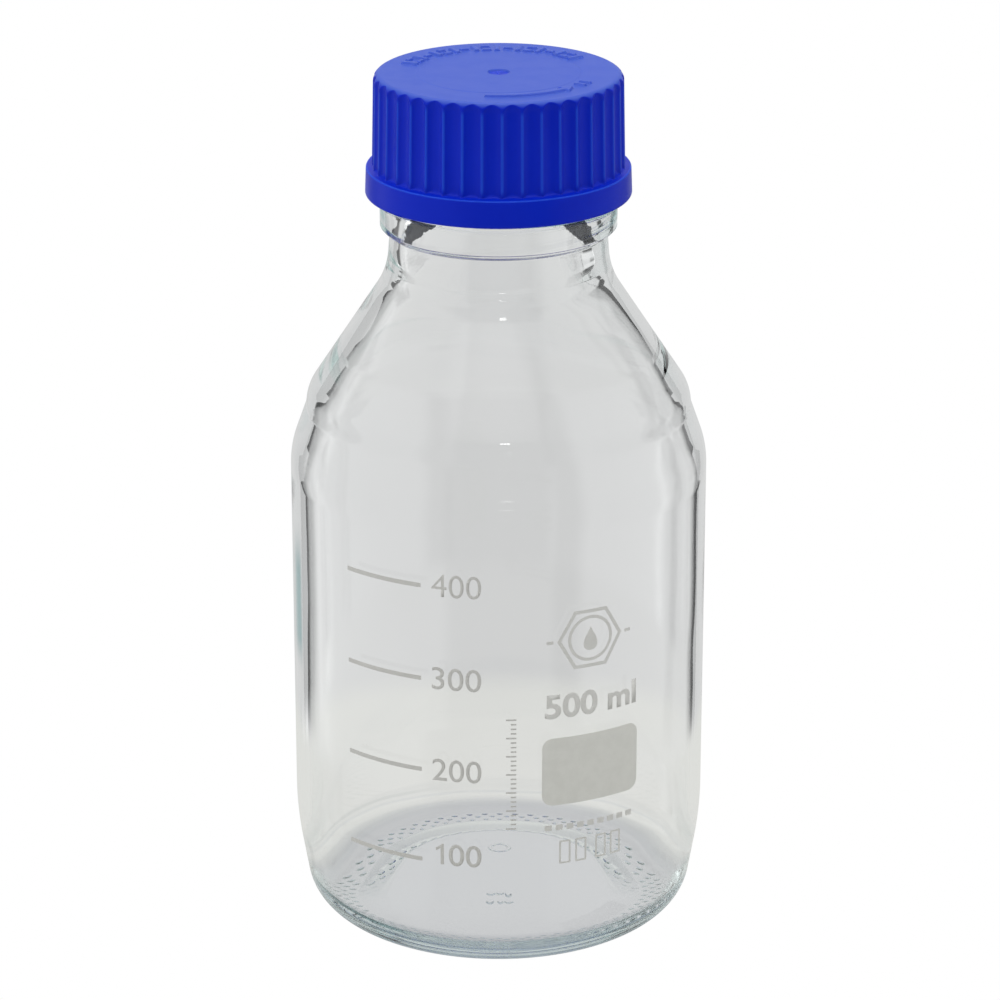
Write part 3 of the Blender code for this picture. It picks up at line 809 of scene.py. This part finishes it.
def top_marks(angle, r):
    """Raised turn arrow and tick marks on the top of the cap."""
    deg = np.degrees((angle + math.pi) % TAU - math.pi)      # -180..180, front is -90
    total = np.zeros_like(angle)
    soft = 0.22

    def inside(lo, hi, value, s=soft):
        return smooth((value - lo) / s + 0.5) * smooth((hi - value) / s + 0.5)

    # plain blocks round the back: strokes, bars and pips in a fixed rhythm
    flat = np.full_like(angle, r)
    for k in range(19):
        mid = 160.0 - k * 6.9
        along = np.radians(deg - mid) * r
        if k % 4 == 0:
            shape = inside(-0.5, 0.5, along) * inside(17.2, 20.8, flat)
        elif k % 4 == 1:
            shape = inside(-0.95, 0.95, along) * (inside(17.2, 18.2, flat) + inside(19.8, 20.8, flat))
        elif k % 4 == 2:
            shape = inside(-0.5, 0.5, along) * inside(17.2, 20.8, flat)
        else:
            shape = inside(-0.95, 0.95, along) * inside(18.5, 19.5, flat)
        total = np.maximum(total, shape)
    # an arrow round the front right
    start, end = -98.0, -48.0
    mid_r = 19.2
    along = np.radians(deg - start) * mid_r
    span = math.radians(end - start) * mid_r
    total = np.maximum(total, inside(0.0, span, along) * inside(mid_r - 0.6, mid_r + 0.6, flat))
    tip = along - span
    width = 1.7 - tip * 0.66
    total = np.maximum(total, inside(-0.1, 2.5, tip) * smooth((width - abs(r - mid_r)) / soft + 0.5))
    for mid in (-33.0, -26.5):
        along2 = np.radians(deg - mid) * r
        total = np.maximum(total, inside(-0.42, 0.42, along2) * inside(17.9, 20.5, flat))
    return total


MARK = 0.42           # height of the raised marks, which reach the cap's top
FACE = CAP_TOP - MARK
gate = [(0.0, FACE - 0.22), (0.25, FACE - 0.24), (0.45, FACE - 0.40), (0.8, FACE - 0.42), (1.5, FACE - 0.40)]
cap_out = gate + rounded(
    [
        (1.8, FACE - 0.38),
        (2.3, FACE + 0.05, 0.25, 4),
        (16.3, FACE + 0.05, 0.6, 4),
        (16.8, FACE, 0.6, 4),
        (wall_high - EDGE, FACE),
    ]
)
cap_out = list(map(tuple, resample(cap_out, lambda r, z: 0.17 if 17.2 < r < 21.0 else (0.8 if r > 2.4 else 0.3))))
edge_rows = []
for k in range(1, 13):
    bend = math.radians(90 * k / 12)
    edge_rows.append((wall_high - EDGE + EDGE * math.sin(bend), FACE - EDGE * (1 - math.cos(bend))))
wall_rows = []
z = FACE - EDGE
while z > CAP_TOP - 3.6:
    z -= 0.11
    wall_rows.append((wall_r(z), z))
while z > FLANGE_TOP + 2.2:
    z -= 1.6
    z = max(z, FLANGE_TOP + 2.2)
    wall_rows.append((wall_r(z), z))
while z > FLANGE_TOP + 0.02:
    z -= 0.14
    z = max(z, FLANGE_TOP + 0.02)
    wall_rows.append((wall_r(z), z))
flange_rows = rounded(
    [
        (26.0, FLANGE_TOP),
        (FLANGE_R - 0.2, FLANGE_TOP, 0.32, 6),
        (FLANGE_R, CAP_LOW + 0.25, 0.5, 3),
        (FLANGE_R - 0.25, CAP_LOW, 0.18, 4),
        (24.6, CAP_LOW),
        (23.4, CAP_LOW, 0.15, 3),
        (23.0, CAP_LOW + 0.45, 0.15, 3),
        (23.0, 172.5),
    ]
)[1:]
flange_rows = list(map(tuple, resample(flange_rows, lambda r, z: 0.24 if (r < 23.2 and 156.6 < z < 166.8) else 1.1)))
inside_rows = rounded(
    [
        (23.0, 172.5),
        (23.0, 173.0, 0.6, 4),
        (22.0, 174.2, 0.6, 4),
        (22.0, 178.9, 0.8, 5),
        (18.2, 178.9, 0.3, 3),
        (17.9, RING_TOP + 0.4, 0.25, 4),
        (16.6, RING_TOP + 0.4, 0.25, 4),
        (16.3, 178.9, 0.3, 3),
        (8.0, 178.9),
        (0.0, 178.9),
    ]
)[1:]
inside_rows = list(map(tuple, resample(inside_rows, lambda r, z: 1.4)))

rings = []
for r, z in cap_out:
    if r < 1e-4:
        rings.append(np.array([[0.0, 0.0, z]]))
        continue
    pts = ring_points(r, z, CAP_SEG)
    if 17.0 < r < 21.6:
        pts[:, 2] += MARK * top_marks(TAU * np.arange(CAP_SEG) / CAP_SEG, r)
    rings.append(pts)
angle = TAU * np.arange(CAP_SEG) / CAP_SEG
fillet = 1.15
for r, z in edge_rows + wall_rows:
    here = r - flute_depth(angle, z)
    # the wall sweeps out into the band at its foot
    up = z - FLANGE_TOP
    if up < fillet:
        sweep = (wall_low - FLUTE_DEPTH) + fillet - math.sqrt(max(0.0, fillet**2 - (fillet - up) ** 2))
        here = np.maximum(here, sweep)
    rings.append(np.stack([here * np.cos(angle), here * np.sin(angle), np.full(CAP_SEG, z)], axis=1))
for r, z in flange_rows + inside_rows:
    if r < 1e-4:
        rings.append(np.array([[0.0, 0.0, z]]))
        continue
    seg = CAP_SEG
    here = np.full(seg, r)
    if r < 23.2 and 156.5 < z < 167.0 and r > 22.9:
        here = here - thread_height(angle, z, THREAD_Z0 - 1.6, 0.10, 1.85, 2.1, 1.5, 0.8)
    rings.append(np.stack([here * np.cos(angle), here * np.sin(angle), np.full(seg, z)], axis=1))
# flip: the rows run from the middle of the top outwards and down
rings = rings[::-1]
cap = add("cap_shell", make_mesh("cap_shell", rings), "cap", CAP_BLUE, "cap_plastic", "screw_cap")

# -------------------------------------------------------- floor, light, camera
scene = bpy.context.scene


def studio_light(n, direction):
    """Brightness of the light tent by direction, turned with the camera so that every view is lit alike."""
    right, beyond = camera_axes(n)

    def along(axis):
        dot = n.new("ShaderNodeVectorMath", operation="DOT_PRODUCT")
        n.tree.links.new(direction, dot.inputs[0])
        n.tree.links.new(axis, dot.inputs[1])
        return dot.outputs["Value"]

    split = n.new("ShaderNodeSeparateXYZ")
    n.tree.links.new(direction, split.inputs[0])
    up = split.outputs["Z"]
    turn = n.math("MULTIPLY", n.math("ARCTAN2", along(right.outputs[0]), along(beyond.outputs[0])), 180 / math.pi)
    wide = n.math("ABSOLUTE", turn)
    times = lambda *v: v[0] if len(v) == 1 else n.math("MULTIPLY", v[0], times(*v[1:]))
    plus = lambda *v: v[0] if len(v) == 1 else n.math("ADD", v[0], plus(*v[1:]))

    # the bright overhead light is kept from rays that bounced about in the heel, where it would glitter
    bounced = n.new("ShaderNodeLightPath").outputs["Ray Depth"]
    plain = n.step(bounced, 2.4, 3.6, 1.0, 0.0)
    high = n.step(up, -0.41, -0.388)
    low = n.step(up, -0.41, -0.388, 1.0, 0.0)
    # paper sweep behind the bottle, a little dimmer straight behind it; how far it reaches changes with height
    inward = n.step(up, -0.20, -0.12, 0.0, -6.0)
    right_reach = plus(wide, inward, n.step(up, -0.02, 0.07, 0.0, 6.0), n.step(up, 0.05, 0.30, 0.0, 8.5))
    left_reach = plus(wide, inward, n.step(up, -0.02, 0.07, 0.0, 9.4), n.step(up, 0.05, 0.30, 0.0, 4.2))
    ends = plus(
        times(n.step(turn, 0.0, 0.1), n.step(right_reach, 32.6, 33.2, 1.0, 0.0)),
        times(n.step(turn, 0.0, 0.1, 1.0, 0.0), n.step(left_reach, 36.5, 37.1, 1.0, 0.0)),
    )
    shade = n.step(wide, 16.0, 36.0, 1.0, 0.90)
    dip = n.step(wide, 0.0, 9.0, 0.955, 1.0)
    above = plus(1.0, times(n.step(up, 0.50, 0.75, 0.0, 1.6), plain))
    back = times(ends, shade, dip, above, 0.650)
    # the table close round the foot, seen by the steep rays
    table_ends = plus(n.step(up, -0.455, -0.435), times(n.step(up, -0.455, -0.435, 1.0, 0.0), n.step(wide, 74.0, 80.0)), n.step(up, -0.74, -0.70, 1.0, 0.0))
    table_ends = n.math("MINIMUM", table_ends, 1.0)
    table = times(low, n.step(wide, 30.0, 34.0), table_ends, 0.80)
    # walls of the tent beyond the narrow dark gaps at the ends of the sweep
    walls = times(
        plus(n.step(turn, -50.0, -45.0, 1.0, 0.0), n.step(turn, 40.0, 45.0)),
        n.step(wide, 62.0, 70.0, 1.0, 0.0),
        high,
        0.66,
    )
    # softboxes to the sides, in front of the bottle
    left = times(n.step(turn, -62.0, -56.0, 1.0, 0.0), n.step(turn, -154.0, -146.0), 0.92)
    right_box = times(n.step(turn, 66.0, 72.0), n.step(turn, 128.0, 140.0, 1.0, 0.0), 0.80)
    boxes = times(plus(left, right_box), high, n.step(up, 0.80, 0.90, 1.0, 0.0))
    front = times(n.step(wide, 146.0, 154.0), 0.42, high)
    top = times(n.step(up, 0.66, 0.80), plus(0.10, times(plain, 1.75)))
    # small lamps one above the other, over the camera and a little to its right
    across = n.math("ABSOLUTE", n.math("SUBTRACT", turn, 175.8))
    bars = plus(
        times(n.step(up, 0.110, 0.113), n.step(up, 0.118, 0.121, 1.0, 0.0), 0.8),
        times(n.step(up, 0.278, 0.281), n.step(up, 0.286, 0.289, 1.0, 0.0), 0.8),
        times(n.step(up, 0.625, 0.63), n.step(up, 0.675, 0.68, 1.0, 0.0), plain),
    )
    lamp = times(n.step(across, 3.2, 3.8, 1.0, 0.0), bars, n.step(bounced, 7.2, 7.8, 1.0, 0.0), 12.0)
    return plus(back, table, walls, boxes, front, top, lamp, 0.03)


def light_or_white(n, out, light, kind):
    """White to the camera, the light tent to every other ray."""
    path = n.new("ShaderNodeLightPath")
    shown = n.new(kind)
    shown.inputs["Color"].default_value = (1, 1, 1, 1)
    hidden = n.new(kind)
    n.put(hidden.inputs["Color"], light)
    mix = n.new("ShaderNodeMixShader")
    n.put(mix.inputs[0], path.outputs["Is Camera Ray"])
    n.put(mix.inputs[1], hidden.outputs[0])
    n.put(mix.inputs[2], shown.outputs[0])
    n.put(out.inputs["Surface"], mix.outputs[0])


def make_floor():
    mesh = bpy.data.meshes.new("floor")
    s = 3.0
    mesh.from_pydata([(-s, -s, -0.0004), (s, -s, -0.0004), (s, s, -0.0004), (-s, s, -0.0004)], [], [(0, 1, 2, 3)])
    floor = bpy.data.objects.new("floor", mesh)
    scene.collection.objects.link(floor)
    made, n, out, where = new_material("pale_floor")
    geometry = n.new("ShaderNodeNewGeometry")
    onward = n.new("ShaderNodeVectorMath", operation="SCALE")
    onward.inputs["Scale"].default_value = -1.0
    n.tree.links.new(geometry.outputs["Incoming"], onward.inputs[0])
    away = n.new("ShaderNodeVectorMath", operation="LENGTH")
    n.tree.links.new(geometry.outputs["Position"], away.inputs[0])
    distance = away.outputs["Value"]
    # the paper round the foot: faintly cool in the bottle's own shade, faintly warm outside it
    paper = n.mix(n.step(distance, 0.036, 0.046), (0.605, 0.612, 0.628, 1), (0.735, 0.735, 0.708, 1))
    beyond = camera_axes(n)[1]
    depth = n.new("ShaderNodeVectorMath", operation="DOT_PRODUCT")
    n.tree.links.new(geometry.outputs["Position"], depth.inputs[0])
    n.tree.links.new(beyond.outputs[0], depth.inputs[1])
    # painted shadow: darker in a band under the edge of the foot, and a little darker on the camera's side of it
    near = n.math("MULTIPLY", n.step(depth.outputs["Value"], -0.036, 0.004, 0.93, 1.0), n.math("ADD", n.step(distance, 0.022, 0.040, 1.0, 0.84), n.step(distance, 0.036, 0.047, 0.0, 0.16)))
    paper = n.mix(1.0, paper, near, "MULTIPLY")
    light = n.mix(n.step(distance, 0.108, 0.128), paper, studio_light(n, onward.outputs[0]))
    light_or_white(n, out, light, "ShaderNodeEmission")
    floor.data.materials.append(made)


def make_world():
    world = bpy.data.worlds.new("studio")
    scene.world = world
    world.use_nodes = True
    n = Nodes(world.node_tree)
    out = n.new("ShaderNodeOutputWorld")
    where = n.new("ShaderNodeTexCoord")
    light_or_white(n, out, studio_light(n, where.outputs["Generated"]), "ShaderNodeBackground")
    world.cycles.sampling_method = "MANUAL"
    world.cycles.sample_map_resolution = 1024


make_floor()
make_world()

camera_data = bpy.data.cameras.new("camera")
camera_data.sensor_width = 36.0
camera_data.lens = 4109.75 / 1000 * 36.0
camera_data.shift_x = 0.00138
camera_data.clip_start, camera_data.clip_end = 0.01, 50.0
camera = bpy.data.objects.new("camera", camera_data)
scene.collection.objects.link(camera)
camera.location = (0.0, -0.80075, 0.38643)
camera.rotation_euler = (math.radians(90.0) - 0.3554, 0.0, 0.0)
scene.camera = camera

scene.view_settings.view_transform = "Standard"
scene.view_settings.look = "None"
scene.cycles.max_bounces = 48
scene.cycles.transmission_bounces = 48
scene.cycles.glossy_bounces = 40
scene.cycles.diffuse_bounces = 3
scene.cycles.transparent_max_bounces = 16
scene.cycles.blur_glossy = 0.0
scene.cycles.sample_clamp_indirect = 2.0

bpy.context.view_layer.update()
